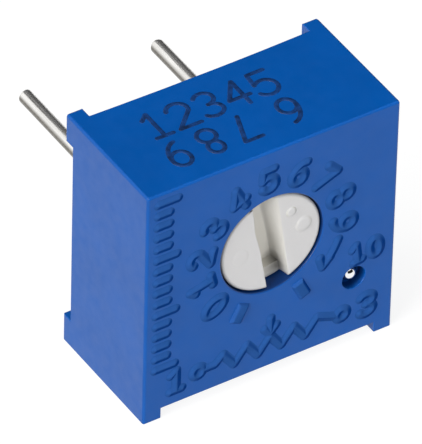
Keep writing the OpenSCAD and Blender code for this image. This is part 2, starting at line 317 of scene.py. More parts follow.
def from_axis(tree, place, x, z, low, high):
    """0 to 1 between two distances from a line along Y, in millimetres."""
    flat = add_node(tree, "ShaderNodeMapping", Vector=place, Location=(-x * MM, 0, -z * MM),
                    Scale=(1, 0, 1)).outputs[0]
    reach = add_node(tree, "ShaderNodeVectorMath", {"operation": "LENGTH"}, _0=flat).outputs["Value"]
    return spread(tree, reach, 0, 1, low * MM, high * MM)


def by_depth(tree, place, low, high):
    """0 to 1 between two places along Y, in millimetres."""
    depth = add_node(tree, "ShaderNodeSeparateXYZ", Vector=place).outputs["Y"]
    return spread(tree, depth, 0, 1, low * MM, high * MM)


def facing(tree, direction):
    """How far the surface looks along a direction: 1 straight along it, -1 straight away."""
    normal = add_node(tree, "ShaderNodeTexCoord").outputs["Normal"]
    return add_node(tree, "ShaderNodeVectorMath", {"operation": "DOT_PRODUCT"}, _0=normal,
                    _1=Vector(direction).normalized()).outputs["Value"]


def add_bump(tree, shader, height, depth, strength=1.0):
    """Bump whose full height is depth millimetres."""
    bump = add_node(tree, "ShaderNodeBump", Height=height, Distance=depth * MM, Strength=strength)
    tree.links.new(bump.outputs["Normal"], shader.inputs["Normal"])


def case_plastic():
    # Glass-filled polyester from a fine-eroded mould: even blue, low sheen, faint grain and flow clouds.
    material, tree, shader, place = new_material("moulded_blue_polyester")
    clouds = spread(tree, spots(tree, place, 2.2), 0, 1)
    skin = blend_colours(tree, clouds, "#0053A6", "#0058AF")
    # Painted shade: the walls of the round holes are painted dark, in the vent only deep down.
    deep = by_depth(tree, place, FRONT_Y, FRONT_Y + 0.2)
    vent = from_axis(tree, place, VENT_X, VENT_Z, VENT_R + 0.03, VENT_R + 0.005)
    vent = add_node(tree, "ShaderNodeMath", {"operation": "MULTIPLY"}, _0=vent, _1=deep).outputs[0]
    bore = from_axis(tree, place, 0, AXIS_Z, BORE_R + 0.04, BORE_R + 0.005)
    painted_hole_shade = add_node(tree, "ShaderNodeMath", {"operation": "MAXIMUM"}, _0=bore, _1=vent).outputs[0]
    tree.links.new(blend_colours(tree, painted_hole_shade, skin, "#00306C"), shader.inputs["Base Color"])
    tree.links.new(spread(tree, spots(tree, place, 0.4), 0.34, 0.44), shader.inputs["Roughness"])
    shader.inputs["Specular IOR Level"].default_value = 0.33
    add_bump(tree, shader, spots(tree, place, 0.09), 0.0012)
    return material


def mark_plastic():
    # The same polyester out of engraved strokes: a dull skin with a painted sheen in its colour, and painted
    # shade down the lower right sides.
    material, tree, shader, place = new_material("marked_blue_polyester")
    lower_right = (0.8, 0, -0.6)
    clouds = spread(tree, spots(tree, place, 0.5), 0, 1)
    # Painted sheen: the crown's colour is greyed by a pale veil of reflection, while the shader's own gloss
    # is kept low.
    crown_painted_sheen = blend_colours(tree, clouds, "#28579B", "#2D5BA2")
    # Painted shade on the sides that face the lower right, away from the light.
    painted_lower_right_shade = spread(tree, facing(tree, lower_right), 0, 1, 0.02, 0.25)
    tree.links.new(blend_colours(tree, painted_lower_right_shade, crown_painted_sheen, "#003E8D"), shader.inputs["Base Color"])
    tree.links.new(spread(tree, clouds, 0.5, 0.6, 0, 1), shader.inputs["Roughness"])
    shader.inputs["Specular IOR Level"].default_value = 0.02
    return material


def slot_soil(tree, place):
    """0 to 1 for painted shade: low down at the foot of the slot's right wall."""
    middle = leaned() @ Vector((SLOT_W / 2 - 0.05, ROTOR_FACE + 0.5, -1.55)) * MM
    away = add_node(tree, "ShaderNodeVectorMath", {"operation": "DISTANCE"}, _0=place, _1=middle)
    near = spread(tree, away.outputs["Value"], 1, 0, 0.15 * MM, 0.65 * MM)
    sunk = by_depth(tree, place, ROTOR_FACE + 0.15, ROTOR_FACE + 0.45)
    return add_node(tree, "ShaderNodeMath", {"operation": "MULTIPLY"}, _0=near, _1=sunk).outputs[0]


def rotor_plastic():
    # White filled nylon: bright and a little waxy, with painted shade deeper in the slot, on faces turned
    # across it, at the foot of its right wall and round the rim.
    material, tree, shader, place = new_material("moulded_white_nylon")
    # Painted shade: a little darker and warmer deeper into the slot.
    painted_depth_shade = by_depth(tree, place, ROTOR_FACE + 0.005, ROTOR_FACE + 0.25)
    tint = blend_colours(tree, painted_depth_shade, "#E5E4E4", "#E3E0D8")
    # Painted shade on faces turned across the slot, which keeps the slot's walls and the domes' flanks from
    # lighting up.
    across = facing(tree, leaned().to_3x3() @ Vector((1, 0, 0)))
    across = add_node(tree, "ShaderNodeMath", {"operation": "ABSOLUTE"}, _0=across).outputs[0]
    tint = blend_colours(tree, spread(tree, across, 0, 1, 0.05, 0.5), tint, "#D8D6D0")
    # Painted shade at the foot of the slot's right wall, where the pocket ends.
    tint = blend_colours(tree, slot_soil(tree, place), tint, "#807E79")
    # Painted shade round the rim, where the case's edge shades the rotor.
    rim = from_axis(tree, place, 0, AXIS_Z, ROTOR_R - 0.12, ROTOR_R + 0.02)
    tree.links.new(blend_colours(tree, rim, tint, "#94969C"), shader.inputs["Base Color"])
    shader.inputs["Subsurface Weight"].default_value = 0.5
    shader.inputs["Subsurface Scale"].default_value = 0.2 * MM
    shader.inputs["Subsurface Radius"].default_value = (1, 1, 1)
    tree.links.new(spread(tree, spots(tree, place, 0.3), 0.38, 0.5), shader.inputs["Roughness"])
    shader.inputs["Specular IOR Level"].default_value = 0.4
    add_bump(tree, shader, spots(tree, place, 0.12), 0.001)
    return material


def tinned_wire():
    # Hot-tinned copper wire: bright metal with drawn streaks, and a painted dark reflection, grainy, along
    # its lower left.
    material, tree, shader, place = new_material("tinned_copper_wire")
    lower_left = (-0.95, 0, -0.3)
    streaks = spots(tree, place, 0.05, detail=4.0, stretch=1.6)
    tint = blend_colours(tree, spread(tree, streaks, 0, 1), "#DFDDD9", "#F4F3F0")
    # Painted dark reflection along the lower left, grainy.
    line = spread(tree, facing(tree, lower_left), 0, 1, 0.55, 0.85)
    grains = blend_colours(tree, spots(tree, place, 0.06), "#3B3834", "#9A968E")
    tree.links.new(blend_colours(tree, line, tint, grains), shader.inputs["Base Color"])
    shader.inputs["Metallic"].default_value = 0.85
    tree.links.new(spread(tree, streaks, 0.16, 0.34), shader.inputs["Roughness"])
    add_bump(tree, shader, streaks, 0.006)
    return material


def plain_finish(name, low, high, size, roughness, metallic=0.0, depth=0.002, specular=0.5):
    """A finish between two close colours, with a grain of the given size in millimetres."""
    material, tree, shader, place = new_material(name)
    grain = spots(tree, place, size)
    tree.links.new(blend_colours(tree, spread(tree, grain, 0, 1), low, high), shader.inputs["Base Color"])
    tree.links.new(spread(tree, grain, roughness * 0.85, roughness * 1.15), shader.inputs["Roughness"])
    shader.inputs["Metallic"].default_value = metallic
    if not metallic:
        shader.inputs["Specular IOR Level"].default_value = specular
    add_bump(tree, shader, grain, depth)
    return material


# --- Strokes that are raised or printed ------------------------------------------------------

def stroke_digits():
    """Plain numerals drawn with strokes one unit high, each a list of strokes."""
    ring = arc(0, 0, 0.28, 90, 450, 28, 0.5)
    six = [arc(0.24, -0.2, 0.51, 100, 180, 8, 0.7) + arc(0, -0.2, 0.27, 180, 540, 22, 0.3)[1:]]
    return {
        "0": [ring],
        "1": [[(-0.16, 0.3), (0.04, 0.5), (0.04, -0.5)], [(-0.18, -0.5), (0.26, -0.5)]],
        "2": [arc(0, 0.22, 0.27, 165, -30, 12, 0.28) + [(-0.28, -0.5), (0.28, -0.5)]],
        "3": [arc(-0.02, 0.25, 0.25, 150, -90, 14), arc(-0.02, -0.25, 0.27, 90, -150, 14, 0.25)],
        "4": [[(0.12, -0.5), (0.12, 0.5), (-0.28, -0.18), (0.28, -0.18)]],
        "5": [[(0.24, 0.5), (-0.2, 0.5), (-0.24, 0.03)] + arc(-0.02, -0.18, 0.29, 130, -150, 16, 0.32)],
        "6": six,
        "7": [[(-0.27, 0.5), (0.27, 0.5), (-0.08, -0.5)]],
        "8": [arc(0, 0.26, 0.22, -90, 270, 20, 0.24), arc(0, -0.24, 0.27, 90, 450, 20, 0.26)],
        "9": [[(-x, -z) for x, z in six[0]]],
    }


def placed_strokes(strokes, x, z, size, turn=0.0, wide=1.0):
    """Strokes of unit size set at (x, z), size millimetres high and turned by degrees."""
    c, s = math.cos(math.radians(turn)), math.sin(math.radians(turn))
    return [[(x + size * (c * px * wide - s * pz), z + size * (s * px * wide + c * pz)) for px, pz in stroke]
            for stroke in strokes]


def stroke_wires(name, strokes):
    """A wire of all the strokes in the flat (x, y) plane, broken at its sharp corners.

    Each end and sharp corner is marked once, for the round end that goes there.
    """
    points, edges, joints, rounded = [], [], [], set()

    def add_point(place, is_joint):
        key = (round(place[0], 3), round(place[1], 3))
        points.append((*place, 0))
        joints.append(is_joint and key not in rounded)
        if is_joint:
            rounded.add(key)

    for stroke in strokes:
        add_point(stroke[0], True)
        for before, here, after in zip(stroke, stroke[1:], stroke[2:] + [None]):
            turn = after and (Vector(here) - Vector(before)).angle(Vector(after) - Vector(here))
            sharp = turn is None or turn > math.radians(28)
            add_point(here, sharp)
            edges.append((len(points) - 2, len(points) - 1))
            if sharp and after:
                add_point(here, False)
    mesh = bpy.data.meshes.new(name)
    mesh.from_pydata(points, edges, [])
    mesh.attributes.new("joint", "BOOLEAN", "POINT").data.foreach_set("value", joints)
    piece = bpy.data.objects.new(name, mesh)
    bpy.context.scene.collection.objects.link(piece)
    return piece


def ridge_half(foot, top, height, sink, steps):
    """Half of a ridge's section as (distance, height), from its top down an eased flank to its foot."""
    flank = []
    for i in range(steps + 1):
        t = i / steps
        eased = (t + (1 - math.cos(math.pi * t)) / 2) / 2
        flank.append((top / 2 + (foot - top) / 2 * t, height * (1 - eased)))
    return [(0, height)] + flank + [(foot / 2, -sink)]


def ridge_section(half):
    """The whole section as a closed wire; the sweep turns its -y side up."""
    outline = half + [(-x, y) for x, y in half[:0:-1]]
    mesh = bpy.data.meshes.new("section")
    count = len(outline)
    mesh.from_pydata([(x, -y, 0) for x, y in outline], [(i, (i + 1) % count) for i in range(count)], [])
    return bpy.data.objects.new("section", mesh)


def ridge_end(half):
    """The same section turned round, for the round ends and corners.

    It is turned a little about itself, so that no corner of it falls on one of the swept section's.
    """
    dot = lathe("dot", [(r, -h) for r, h in half] + [(0, -half[-1][1])], 0, 0, 20)
    off_line = Matrix.Rotation(math.radians(3.7), 4, "Z")
    dot.data.transform(off_line @ Matrix.Rotation(-math.pi / 2, 4, "X"))
    return dot


def stroke_tree():
    """Geometry nodes that sweep a ridge along each stroke, round its ends and melt them into one solid."""
    tree = bpy.data.node_groups.new("raised_strokes", "GeometryNodeTree")
    face = tree.interface
    face.new_socket("Lines", in_out="INPUT", socket_type="NodeSocketGeometry")
    face.new_socket("Section", in_out="INPUT", socket_type="NodeSocketObject")
    face.new_socket("Round end", in_out="INPUT", socket_type="NodeSocketObject")
    face.new_socket("Finish", in_out="INPUT", socket_type="NodeSocketMaterial")
    face.new_socket("Ridges", in_out="OUTPUT", socket_type="NodeSocketGeometry")
    given = add_node(tree, "NodeGroupInput").outputs
    section = add_node(tree, "GeometryNodeObjectInfo", Object=given["Section"]).outputs["Geometry"]
    section = add_node(tree, "GeometryNodeMeshToCurve", Mesh=section).outputs[0]
    lines = add_node(tree, "GeometryNodeMeshToCurve", Mesh=given["Lines"]).outputs[0]
    upright = add_node(tree, "GeometryNodeSetCurveNormal", {"mode": "Z_UP"}, Curve=lines).outputs[0]
    ridges = add_node(tree, "GeometryNodeCurveToMesh", Curve=upright, Profile_Curve=section, Fill_Caps=True)
    end = add_node(tree, "GeometryNodeObjectInfo", Object=given["Round end"]).outputs["Geometry"]
    joint = add_node(tree, "GeometryNodeInputNamedAttribute", {"data_type": "BOOLEAN"}, Name="joint")
    ends = add_node(tree, "GeometryNodeInstanceOnPoints", Points=given["Lines"], Instance=end,
                    Selection=joint.outputs["Attribute"])
    both = add_node(tree, "GeometryNodeJoinGeometry")
    tree.links.new(ends.outputs[0], both.inputs[0])
    tree.links.new(ridges.outputs[0], both.inputs[0])
    real = add_node(tree, "GeometryNodeRealizeInstances", Geometry=both.outputs[0]).outputs[0]
    melted = add_node(tree, "GeometryNodeMeshBoolean", {"operation": "UNION", "solver": "EXACT"},
                      Mesh_2=real, Self_Intersection=True).outputs[0]
    painted = add_node(tree, "GeometryNodeSetMaterial", Geometry=melted, Material=given["Finish"])
    add_node(tree, "NodeGroupOutput", Ridges=painted.outputs[0])
    return tree


def sweep_strokes(piece, tree, material, half):
    """Runs the stroke nodes on a wire and keeps the result as its mesh."""
    section, end = ridge_section(half), ridge_end(half)
    sweep = piece.modifiers.new("sweep", "NODES")
    sweep.node_group = tree
    sockets = {item.name: item.identifier for item in tree.interface.items_tree if item.in_out == "INPUT"}
    sweep[sockets["Section"]] = section
    sweep[sockets["Round end"]] = end
    sweep[sockets["Finish"]] = material
    settle(piece)
    for helper in (section, end):
        bpy.data.objects.remove(helper)


# --- Case -----------------------------------------------------------------------------------

def case_outline():
    inner = HALF_W - RAIL_W
    return [(-HALF_W, 0), (-inner, 0), (-inner, RAIL_H), (inner, RAIL_H), (inner, 0), (HALF_W, 0),
            (HALF_W, SKIN_Z), (-HALF_W, SKIN_Z)]


def standoffs():
    """The four corners behind the rim, and the rails that run out with the lower two."""
    sunk = 0.2
    corners = []
    for side in (-1, 1):
        edge, inner, rail = side * HALF_W, side * (HALF_W - STANDOFF_W), side * (HALF_W - RAIL_W)
        corners.append(rectangle(edge, SKIN_Z - STANDOFF_H, inner, SKIN_Z))
        corners.append([(edge, 0), (rail, 0), (rail, RAIL_H), (inner, RAIL_H),
                        (inner, STANDOFF_H), (edge, STANDOFF_H)])
    return [prism("corner", outline, RIM_Y - sunk, CASE_HIGH.y) for outline in corners]


def cavity_tool():
    """The hollow behind the front wall, less the four corner posts and the stop rib."""
    low, high = RESIN_LOW, RESIN_HIGH
    tool = prism("cavity", rectangle(low.x, low.z, high.x, high.z), WALL_BACK, CASE_HIGH.y + PAST)
    for side in (-1, 1):
        for z0, z1 in ((low.z - PAST, low.z + POST), (high.z - POST, high.z + PAST)):
            x0, x1 = side * (high.x - POST), side * (high.x + PAST)
            cut(tool, prism("post", rectangle(x0, z0, x1, z1), WALL_BACK - PAST, PLATE_LOW.y))
    rib = sector(*RIB_R, 270 - LUG_HALF, 270 + LUG_HALF, z=AXIS_Z)
    cut(tool, prism("rib", rib, WALL_BACK - PAST, RIB_BACK))
    return tool


def bow_tool():
    """The long walls are drawn in a little between the standoffs, as the shrinking resin pulls them."""
    sag, reach, span = 0.08, 3.0, HALF_W
    radius = (span ** 2 + sag ** 2) / (2 * sag)
    half = math.degrees(math.asin((HALF_W - STANDOFF_W) / radius))
    edge = arc(0, RIM_Y - sag + radius, radius, 270 - half, 270 + half, 24)
    outline = edge + [(edge[-1][0], RIM_Y + reach), (edge[0][0], RIM_Y + reach)]
    return loft("bow", [[(x, y, z) for x, y in outline] for z in (-PAST, TOP_Z + PAST)])


def bore_tool():
    ring_r = RING_HIGH.x + RING_GAP
    profile = [(0, FRONT_Y - PAST), (BORE_R, FRONT_Y - PAST), (BORE_R, RING_LOW.y - RING_GAP),
               (ring_r, RING_LOW.y - RING_GAP), (ring_r, WALL_BACK + OVERLAP),
               (0, WALL_BACK + OVERLAP)]
    return lathe("bore", profile, 0, AXIS_Z, 128)


def vent_tool():
    seat_r = BALL_R - BALL_SQUEEZE
    profile = [(0, FRONT_Y - PAST), (VENT_R, FRONT_Y - PAST), (VENT_R, BALL_Y), (seat_r, BALL_Y),
               (seat_r, WALL_BACK + OVERLAP), (0, WALL_BACK + OVERLAP)]
    return lathe("vent", profile, VENT_X, VENT_Z, 48)


def case_edge_radius(middle):
    """Outer edges are rounder than the rest, and the hollow's own edges stay sharp."""
    near = 0.02
    outer_x = abs(abs(middle.x) - HALF_W) < near
    outer_y = abs(middle.y - FRONT_Y) < near or middle.y > CASE_HIGH.y - near
    outer_z = middle.z > SKIN_Z - near or middle.z < near
    if outer_x + outer_y + outer_z >= 2:
        return EDGE_R if middle.z > near else FOOT_EDGE_R
    inside = FRONT_Y + 0.3 < middle.y < RESIN_HIGH.y - 0.1 and RAIL_H + near < middle.z < SKIN_Z - near
    if inside and not outer_x:
        return 0
    in_bore = math.hypot(middle.x, middle.z - AXIS_Z) < BORE_R + near
    return BORE_EDGE_R if in_bore else SMALL_EDGE_R


def make_case(plastic):
    case = prism("case_shell", case_outline(), FRONT_Y, RIM_Y)
    join(case, *standoffs())
    cut(case, bow_tool(), cavity_tool(), bore_tool(), vent_tool())
    round_edges(case, case_edge_radius, EDGE_R)
    smooth(case)
    return finish_piece(case, plastic, "case", "case_plastic", "housing")


def dial_marks():
    """Numbers 0 to 10 round the rotor, and an arrow for the way to turn."""
    digits = stroke_digits()
    strokes = []
    dial_r, first, step, digit_h = 2.74, 219.0, 25.0, 0.84
    for i in range(10):
        angle = first - step * i
        x, z = dial_r * math.cos(math.radians(angle)), AXIS_Z + dial_r * math.sin(math.radians(angle))
        strokes += placed_strokes(digits[str(i)], x, z, digit_h, angle - 90, 1.1)
    arrow_r, arrow_end, barb_len = 2.72, -43, 0.42
    arrow = arc(0, AXIS_Z, arrow_r, -20, arrow_end, 8)
    strokes.append(arrow)
    for turn in (arrow_end + 90, arrow_end + 150):
        along = Vector((math.cos(math.radians(turn)), math.sin(math.radians(turn))))
        strokes.append([arrow[-1], tuple(Vector(arrow[-1]) + barb_len * along)])
    ten_z, ten_h, lean = 3.74, 0.7, 8
    for digit, x in (("1", 3.28), ("0", 4.0)):
        strokes += placed_strokes(digits[digit], x, ten_z, ten_h, lean, 1.05)
    return strokes


def terminal_marks():
    """Numbers 1 and 3 and the resistor sign between them, with the wiper's arrow above it."""
    mark_z, one_x, three_x, sign_x = 1.38, -3.54, 3.74, 0.04
    half, tooth, tooth_h, ring_r = 1.8, 0.9, 0.6, 0.2
    low, high, ring_x = -tooth_h / 2, tooth_h / 2, half + 0.95
    teeth = [(ring_r - ring_x, 0), (-half - 0.3, 0)]
    for i in range(4):
        teeth += [(-half + i * tooth, high), (-half + (i + 0.5) * tooth, low)]
    teeth += [(half, high), (ring_x - ring_r, 0)]
    tip, shaft, barb = high + 0.12, 0.62, (0.22, 0.26)
    sign = [teeth, arc(-ring_x, 0, ring_r, 0, 360, 20), arc(ring_x, 0, ring_r, 180, 540, 20),
            [(0, tip), (0, tip + shaft)],
            [(-barb[0], tip + barb[1]), (0, tip), (barb[0], tip + barb[1])]]
    digit_half, serif, bow_r = 0.42, 0.22, 0.27
    one = [[(-0.2, digit_half - 0.16), (0, digit_half), (0, -digit_half)],
           [(-serif, -digit_half), (serif, -digit_half)]]
    three = [arc(0, digit_half / 2, bow_r, 150, -90, 16, digit_half / 2),
             arc(0, -digit_half / 2, bow_r, 90, -150, 16, digit_half / 2)]
    return [[(middle + x, mark_z + z) for x, z in stroke]
            for middle, mark in ((sign_x, sign), (one_x, one), (three_x, three)) for stroke in mark]


def scale_ticks():
    """The scale of long and short ticks up the left side."""
    count, start_x, margin, low_z, long_tick, short_tick = 16, 0.42 - HALF_W, 0.42, 2.15, 0.72, 0.42
    step = (TOP_Z - margin - low_z) / (count - 1)
    return [[(start_x, low_z + i * step), (start_x + (short_tick if i % 5 else long_tick), low_z + i * step)]
            for i in range(count)]


def make_marks(tree, plastic):
    """The raised marks of the front face."""
    marks = stroke_wires("raised_marks", dial_marks() + terminal_marks() + scale_ticks())
    sweep_strokes(marks, tree, plastic, ridge_half(MARK_FOOT, MARK_CREST, MARK_RISE, MARK_SINK, 6))
    marks.data.transform(Matrix.Translation((0, FRONT_Y, 0)) @ Matrix.Rotation(math.pi / 2, 4, "X"))
    smooth(marks, 25)
    return finish_piece(marks, plastic, "case", "case_plastic")


def end_bar(turn):
    """A raised bar with sloping sides, turned by so many degrees round the rotor from straight below."""
    half_w, length, reach, slope = 0.24, 0.8, BORE_R + 0.36, 0.11
    cosine, sine = math.cos(math.radians(turn)), math.sin(math.radians(turn))
    sections = []
    for rise, inset in ((-OVERLAP, 0), (0, 0), (0.75 * MARK_H, slope / 2), (MARK_H, slope)):
        corners = rectangle(inset - half_w, inset - reach - length, half_w - inset, -reach - inset)
        sections.append([(x * cosine - z * sine, FRONT_Y - rise, AXIS_Z + x * sine + z * cosine)
                         for x, z in corners])
    return loft("end_bar", sections)


def make_end_bars(plastic):
    """Two raised bars that show where the track ends."""
    bars = end_bar(-26)
    join(bars, end_bar(26))
    bars.name = "end_bars"
    round_edges(bars, lambda middle: BAR_EDGE_R if middle.y < FRONT_Y - 0.01 else 0, BAR_EDGE_R)
    smooth(bars)
    return finish_piece(bars, plastic, "case", "case_plastic")


def make_print(tree, ink):
    """Plain stamped numbers on the top: one row to be read from the front, one from the back."""
    digits = stroke_digits()
    digit_h, first_x, pitch, front_row, back_row = 1.2, -2.67, 1.035, 1.42, 3.0
    strokes = []
    for i, digit in enumerate("12345"):
        strokes += placed_strokes(digits[digit], first_x + pitch * i, back_row, digit_h, 0, 1.15)
    for digit, x in (("6", 1.49), ("7", -0.26), ("8", -1.51), ("9", -2.76)):
        strokes += placed_strokes(digits[digit], x, front_row, digit_h, 180, 1.0)
    stamp = stroke_wires("top_print", strokes)
    sweep_strokes(stamp, tree, ink, ridge_half(PRINT_W, PRINT_W - 0.02, PRINT_T, PRINT_T, 1))
    stamp.data.transform(Matrix.Translation((0, FRONT_Y, SKIN_Z)))
    return finish_piece(stamp, ink, "case", "case_plastic")


# --- Rotor, pins, ball and resin --------------------------------------------------------------

def make_rotor(plastic):
    """The rotor, made with its slot upright and then leaned to where it stands at rest."""
    face, rim = ROTOR_FACE, 0.08
    groove_r = RING_HIGH.x - (RING_HIGH.y - RING_LOW.y)
    profile = [(0, face)] + arc(ROTOR_R - rim, face + rim, rim, -90, 0, 6) + [(ROTOR_R, RING_LOW.y),
               (groove_r, RING_LOW.y), (groove_r, RING_HIGH.y), (ROTOR_R, RING_HIGH.y),
               (ROTOR_R, FLANGE_FRONT), (FLANGE_R, FLANGE_FRONT), (FLANGE_R, FLANGE_BACK), (0, FLANGE_BACK)]
    rotor = lathe("rotor_body", profile, 0, 0, 160)
    lug = sector(FLANGE_R - 0.1, LUG_R, 90 - LUG_HALF, 90 + LUG_HALF)
    join(rotor, prism("lug", lug, FLANGE_FRONT, FLANGE_BACK))
    for side in (-1, 1):
        neck, cap = FLANGE_BACK - 0.1, FLANGE_BACK + STAKE_LEN
        stake = [(0, neck), (STAKE_R, neck), (STAKE_R, cap), (STAKE_CAP_R, cap),
                 (STAKE_CAP_R, ROTOR_HIGH.y), (0, ROTOR_HIGH.y)]
        join(rotor, lathe("stake", stake, side * STAKE_X, 0, 32))
    cut(rotor, slot_tool())
    for x, z, r, rise in ((1.26, 0.06, 0.34, 0.04), (-1.15, 0.06, 0.34, 0.015), (0.9, 0.83, 0.2, 0.035)):
        join(rotor, gate_dome(x, z, r, rise))
    round_edges(rotor, rotor_edge_radius, SLOT_EDGE_R, 2)
    smooth(rotor)
    rotor.data.transform(leaned())
    return finish_piece(rotor, plastic, "rotor", "rotor_plastic", "rotor")


def leaned():
    """Takes what is drawn about an upright slot to where the rotor stands at rest."""
    return Matrix.Translation((0, 0, AXIS_Z)) @ Matrix.Rotation(math.radians(-SLOT_LEAN), 4, "Y")


def rotor_edge_radius(middle):
    """Only the slot's left edge is rounded: its right side has its wear in its own shape."""
    near_left = -SLOT_W / 2 - 0.12 < middle.x < 0 and abs(middle.z) < ROTOR_R - 0.02
    return SLOT_EDGE_R if near_left and middle.y < ROTOR_FACE + 0.02 else 0


def gate_dome(x, z, r, rise):
    """A shallow round swelling that an ejector or gate leaves in the face."""
    steps, proud = 6, 0.001
    profile = [(0, ROTOR_FACE + 0.1), (r, ROTOR_FACE + 0.1)]
    for i in range(steps + 1):
        reach = 1 - i / steps
        profile.append((r * reach, ROTOR_FACE + proud - rise * (1 - reach ** 6)))
    return lathe("dome", profile, x, z, 40)


def loft(name, sections):
    """A closed solid through sections of (x, y, z) points, all with the same count."""
    work = bmesh.new()
    rows = [[work.verts.new(place) for place in section] for section in sections]
    work.faces.new(rows[0])
    work.faces.new(rows[-1][::-1])
    for row, after in zip(rows, rows[1:]):
        for i in range(len(row)):
            j = (i + 1) % len(row)
            work.faces.new((row[i], row[j], after[j], after[i]))
    return piece_from(work, name)


def slot_section(z, depth, foot):
    """The slot across, at a height: its left wall bulges a little, its right wall slopes more higher up."""
    up = min(max((z + 1.2) / 3.0, 0), 1)
    bulge = 0.06 * math.exp(-((z - 0.75) / 0.5) ** 2)
    left, right, above = -SLOT_W / 2 - bulge, SLOT_W / 2, ROTOR_FACE - 0.5
    inner, outer, steps = foot + 0.2 * up, 0.03 + 0.12 * up, 16
    floor_y = ROTOR_FACE + depth
    wall = [(right - inner + (inner + outer) * i / steps,
             floor_y - depth * (1 - math.cos(math.pi * i / steps)) / 2) for i in range(steps + 1)]
    across = [(left, above), (left, floor_y)] + wall + [(wall[-1][0] + 0.01, above)]
    return [(x, y, z) for x, y in across]


def slot_tool():
    """The slot with its pocket, whose floor climbs from a step at the lower end to the slot's own floor."""
    half_l, count = POCKET_LEN / 2, 20
    tight_foot, low_foot, high_foot = 0.08, 0.16, 0.24
    sections = [slot_section(z, SLOT_DEPTH, tight_foot) for z in (-BORE_R, -half_l - 0.03)]
    for i in range(count + 1):
        t = i / count
        depth = POCKET_DEPTH + (SLOT_DEPTH - POCKET_DEPTH) * t * (2 - t)
        sections.append(slot_section(-half_l + POCKET_LEN * t, depth, low_foot + (high_foot - low_foot) * t))
    sections.append(slot_section(BORE_R, SLOT_DEPTH, high_foot))
    return loft("slot", sections)


def pin_profile(low, high):
    tip = 0.14
    return [(0, low), (PIN_HEAD_R, low), (PIN_HEAD_R, low + PIN_HEAD_T), (PIN_R, low + PIN_HEAD_T)] + \
        arc(PIN_R - tip, high - tip, tip, 0, 90, 6) + [(0, high)]


def anchor_block(x, z):
    end = RESIN_HIGH.y - ANCHOR_DROP
    outline = rectangle(x - ANCHOR_W / 2, z - ANCHOR_T / 2, x + ANCHOR_W / 2, z + ANCHOR_T / 2)
    return prism("anchor", outline, end - ANCHOR_LEN, end)


def make_pin(node, number, tin):
    """A cut length of tinned wire: the shears leave its end a little slanted, with a burr on one side."""
    low, high = mm_box(node)
    x, z = (low.x + high.x) / 2, (low.z + high.z) / 2
    pin = lathe("pin_%d" % number, pin_profile(low.y, high.y), x, z, 48)
    join(pin, anchor_block(x, z))
    slant, burr, reach = 0.05, 0.03, 0.12
    # Each pin met the shears from another side.
    shear = math.radians(40 + 25 * number)
    for vertex in pin.data.vertices:
        ahead = (vertex.co.y - (high.y - reach)) / reach
        if ahead > 0:
            side = math.cos(math.atan2(vertex.co.z - z, vertex.co.x - x) - shear)
            off_axis = math.hypot(vertex.co.x - x, vertex.co.z - z) / PIN_R
            vertex.co.y -= slant * ahead * (1 - side) / 2 * off_axis
            swell = burr * ahead * max(side, 0) ** 4 * off_axis
            vertex.co.x += swell * math.cos(shear)
            vertex.co.z += swell * math.sin(shear)
    smooth(pin)
    return finish_piece(pin, tin, "case", "tinned_wire", node)


def make_ball(steel):
    steps, radius = 24, BALL_SHARE * BALL_R
    around = [math.pi * i / steps for i in range(1, steps)]
    profile = [(radius * math.sin(a), BALL_Y - radius * math.cos(a)) for a in around]
    profile = [(0, BALL_Y - radius)] + profile + [(0, BALL_Y + radius)]
    ball = lathe("steel_ball", profile, VENT_X, VENT_Z, 48)
    smooth(ball, 60)
    return finish_piece(ball, steel, "case", "ball_steel", "vent_ball")


def resin_face(pins):
    """The height of the resin's face at a place, given the middles of the pins."""
    low, high = RESIN_LOW, RESIN_HIGH
    sink, climb, pin_share, fall, wave_h = 0.03, 0.1, 0.6, 0.14, 0.015

    def face_y(x, z):
        wall = min(x - low.x, high.x - x, z - low.z, high.z - z)
        pin = min(math.hypot(x - px, z - pz) for px, pz in pins) - PIN_R
        gap, share = (wall, 1) if wall < pin else (pin, pin_share)
        wave = wave_h * noise.noise(Vector((x * 0.8, z * 0.8, 3.0)))
        return high.y - sink + climb * share * math.exp(-max(gap, 0) / fall) + wave

    return face_y


def make_resin(resin):
    """The poured resin: its face sinks a little in the middle and climbs the walls and pins."""
    low, high = RESIN_LOW, RESIN_HIGH
    cells = 80
    boxes = [mm_box("terminal_pin_%d" % n) for n in (1, 2, 3)]
    pins = [((a.x + b.x) / 2, (a.z + b.z) / 2) for a, b in boxes]
    face_y = resin_face(pins)
    work = bmesh.new()
    across = [low.x + (high.x - low.x) * i / cells for i in range(cells + 1)]
    up = [low.z + (high.z - low.z) * k / cells for k in range(cells + 1)]
    grid = [[work.verts.new((x, face_y(x, z), z)) for z in up] for x in across]
    for i in range(cells):
        for k in range(cells):
            work.faces.new((grid[i][k], grid[i + 1][k], grid[i + 1][k + 1], grid[i][k + 1]))
    rim = grid[0][:-1] + [column[-1] for column in grid[:-1]]
    rim += grid[-1][:0:-1] + [column[0] for column in grid[:0:-1]]
    base = [work.verts.new((vertex.co.x, low.y, vertex.co.z)) for vertex in rim]
    work.faces.new(base)
    for i in range(len(rim)):
        j = (i + 1) % len(rim)
        work.faces.new((rim[i], rim[j], base[j], base[i]))
    plug = piece_from(work, "resin_plug")
    shank = [(0, low.y - PAST), (PIN_R, low.y - PAST), (PIN_R, high.y + PAST), (0, high.y + PAST)]
    for x, z in pins:
        cut(plug, lathe("shank", shank, x, z, 48), anchor_block(x, z))
    smooth(plug)
    return finish_piece(plug, resin, "case", "sealing_resin", "resin_seal")


# --- Stage ----------------------------------------------------------------------------------

